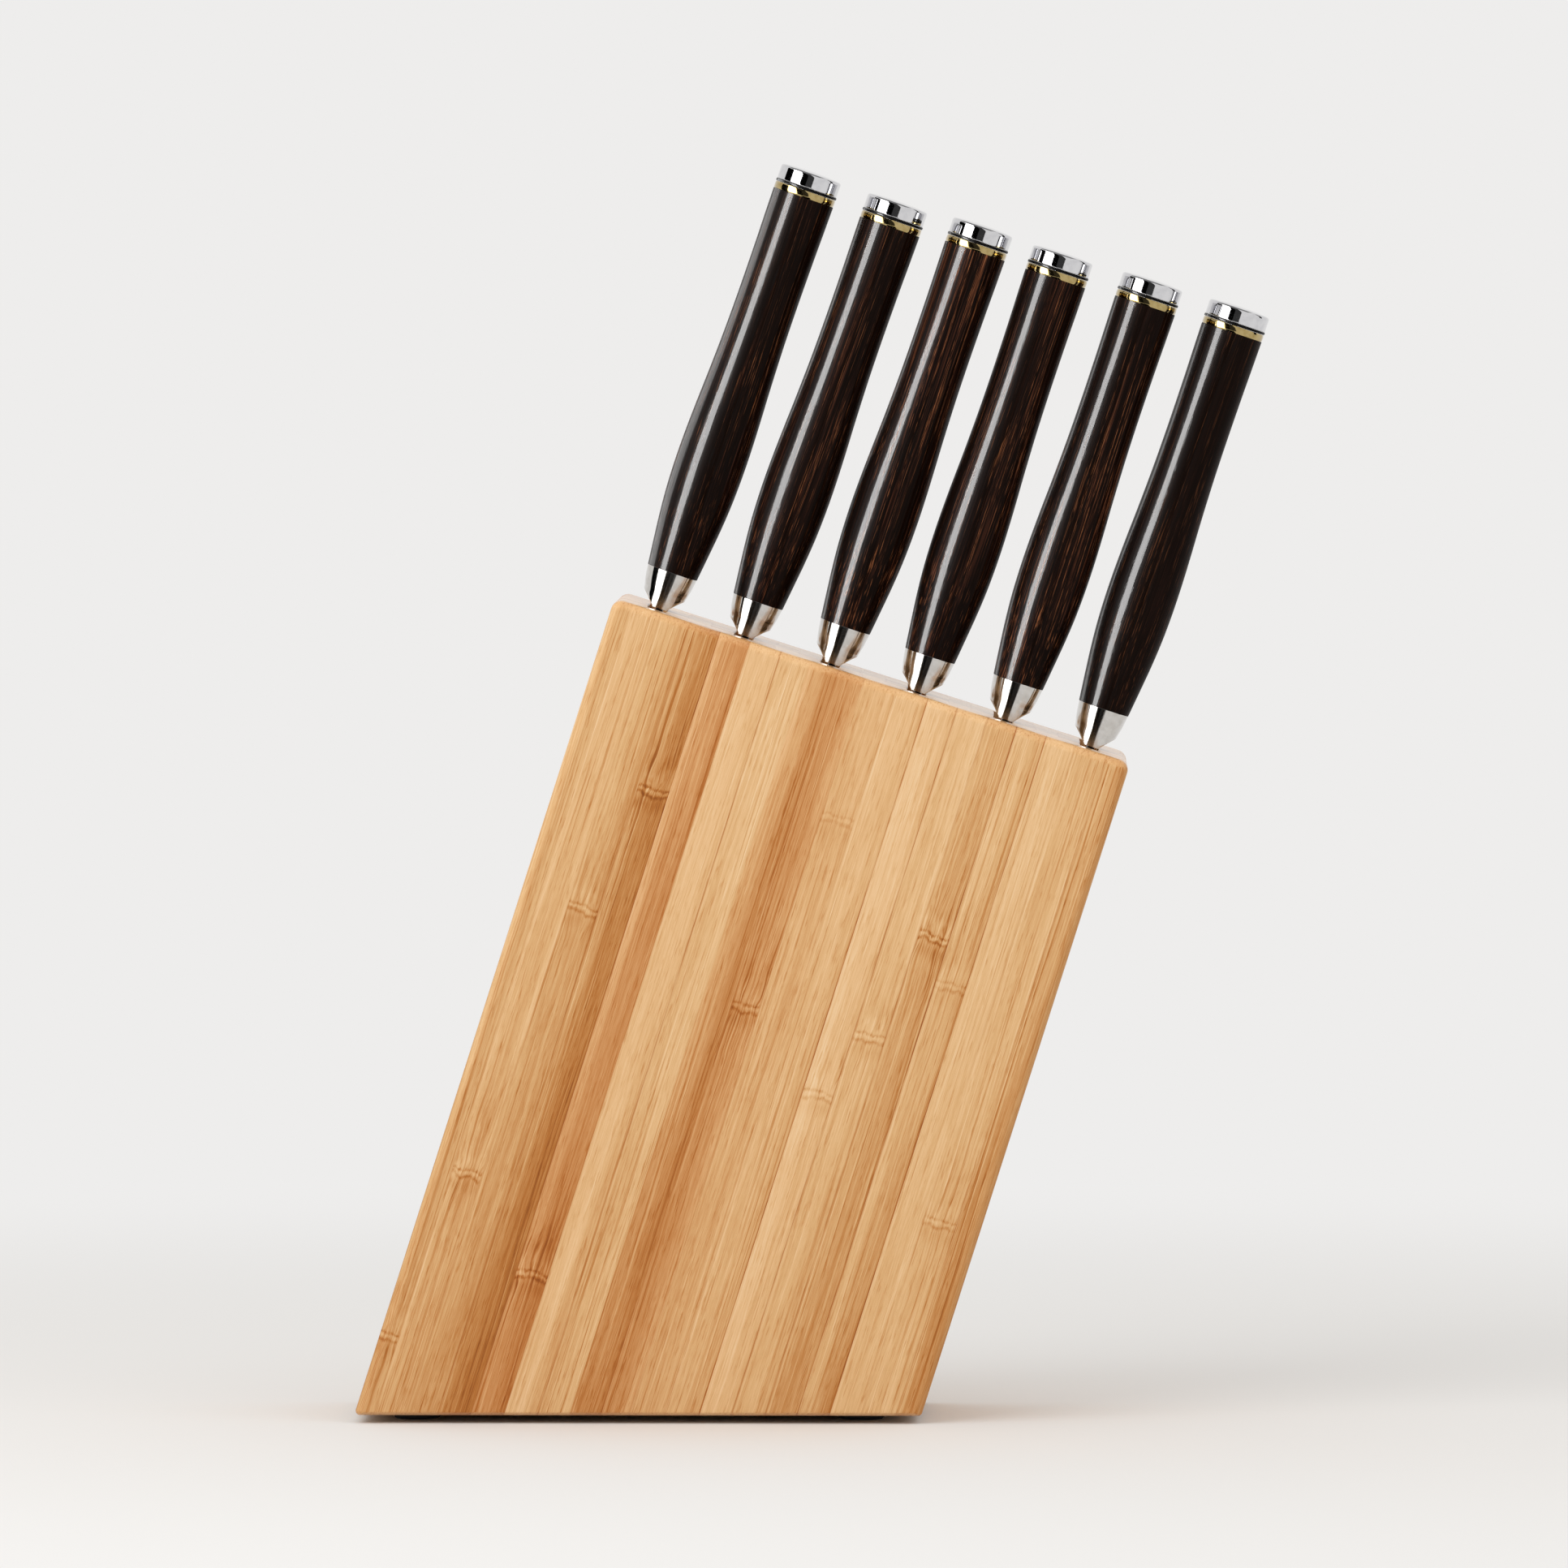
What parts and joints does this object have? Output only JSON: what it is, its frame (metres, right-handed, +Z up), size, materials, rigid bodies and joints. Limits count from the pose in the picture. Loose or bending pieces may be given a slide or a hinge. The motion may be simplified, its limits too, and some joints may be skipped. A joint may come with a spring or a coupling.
{
  "type": "knife block with knives",
  "caption": "Slanted bamboo knife block on rubber feet, with steel knives that slide out of upright slots; dark wood handles with steel bolsters and end caps.",
  "frame": {"origin": "on the plane the feet stand on, in the middle of the whole object's footprint box", "axes": "+Z up; -Y out of the block's wide front face; +X to the right of that face, the way the block and the handles lean"},
  "size_m": [0.256, 0.075, 0.3527],
  "materials": {
    "bamboo": "satin lacquered vertical-grain bamboo",
    "handle_wood": "gloss lacquered near-black laminated hardwood with fine red-brown streaks",
    "blade_steel": "fine satin ground",
    "bolster_steel": "polished with a fine round brushing",
    "cap_steel": "mirror polished",
    "brass": "polished",
    "spacer_black": "black fibre spacer, polished flush",
    "foot_rubber": "matte",
    "screw_steel": "zinc plated"
  },
  "bodies": {
    "block": {"front_board": "bamboo", "back_board": "bamboo", "left_end_board": "bamboo", "right_end_board": "bamboo", "divider_1": "bamboo", "divider_2": "bamboo", "divider_3": "bamboo", "divider_4": "bamboo", "divider_5": "bamboo", "base_board": "bamboo", "foot_front_left": "foot_rubber", "foot_front_right": "foot_rubber", "foot_back_left": "foot_rubber", "foot_back_right": "foot_rubber", "foot_screw_front_left": "screw_steel", "foot_screw_front_right": "screw_steel", "foot_screw_back_left": "screw_steel", "foot_screw_back_right": "screw_steel"},
    "paring_knife": {"paring_blade": "blade_steel", "paring_bolster": "bolster_steel", "paring_handle": "handle_wood", "paring_brass_ring": "brass", "paring_spacer": "spacer_black", "paring_end_cap": "cap_steel"},
    "peeling_knife": {"peeling_blade": "blade_steel", "peeling_bolster": "bolster_steel", "peeling_handle": "handle_wood", "peeling_brass_ring": "brass", "peeling_spacer": "spacer_black", "peeling_end_cap": "cap_steel"},
    "tomato_knife": {"tomato_blade": "blade_steel", "tomato_bolster": "bolster_steel", "tomato_handle": "handle_wood", "tomato_brass_ring": "brass", "tomato_spacer": "spacer_black", "tomato_end_cap": "cap_steel"},
    "chefs_knife": {"chefs_blade": "blade_steel", "chefs_bolster": "bolster_steel", "chefs_handle": "handle_wood", "chefs_brass_ring": "brass", "chefs_spacer": "spacer_black", "chefs_end_cap": "cap_steel"},
    "santoku_knife": {"santoku_blade": "blade_steel", "santoku_bolster": "bolster_steel", "santoku_handle": "handle_wood", "santoku_brass_ring": "brass", "santoku_spacer": "spacer_black", "santoku_end_cap": "cap_steel"},
    "utility_knife": {"utility_blade": "blade_steel", "utility_bolster": "bolster_steel", "utility_handle": "handle_wood", "utility_brass_ring": "brass", "utility_spacer": "spacer_black", "utility_end_cap": "cap_steel"}
  },
  "joints": [
    {"name": "paring_knife_slide", "type": "slide", "parent": "block", "child": "paring_knife", "axis": [0.3302, 0, 0.9439], "range_m": [0, 0.107]},
    {"name": "peeling_knife_slide", "type": "slide", "parent": "block", "child": "peeling_knife", "axis": [0.3318, 0, 0.9433], "range_m": [0, 0.101]},
    {"name": "tomato_knife_slide", "type": "slide", "parent": "block", "child": "tomato_knife", "axis": [0.3264, 0, 0.9452], "range_m": [0, 0.125]},
    {"name": "chefs_knife_slide", "type": "slide", "parent": "block", "child": "chefs_knife", "axis": [0.315, 0, 0.9491], "range_m": [0, 0.215]},
    {"name": "santoku_knife_slide", "type": "slide", "parent": "block", "child": "santoku_knife", "axis": [0.3185, 0, 0.9479], "range_m": [0, 0.195]},
    {"name": "utility_knife_slide", "type": "slide", "parent": "block", "child": "utility_knife", "axis": [0.3216, 0, 0.9469], "range_m": [0, 0.148]}
  ]
}
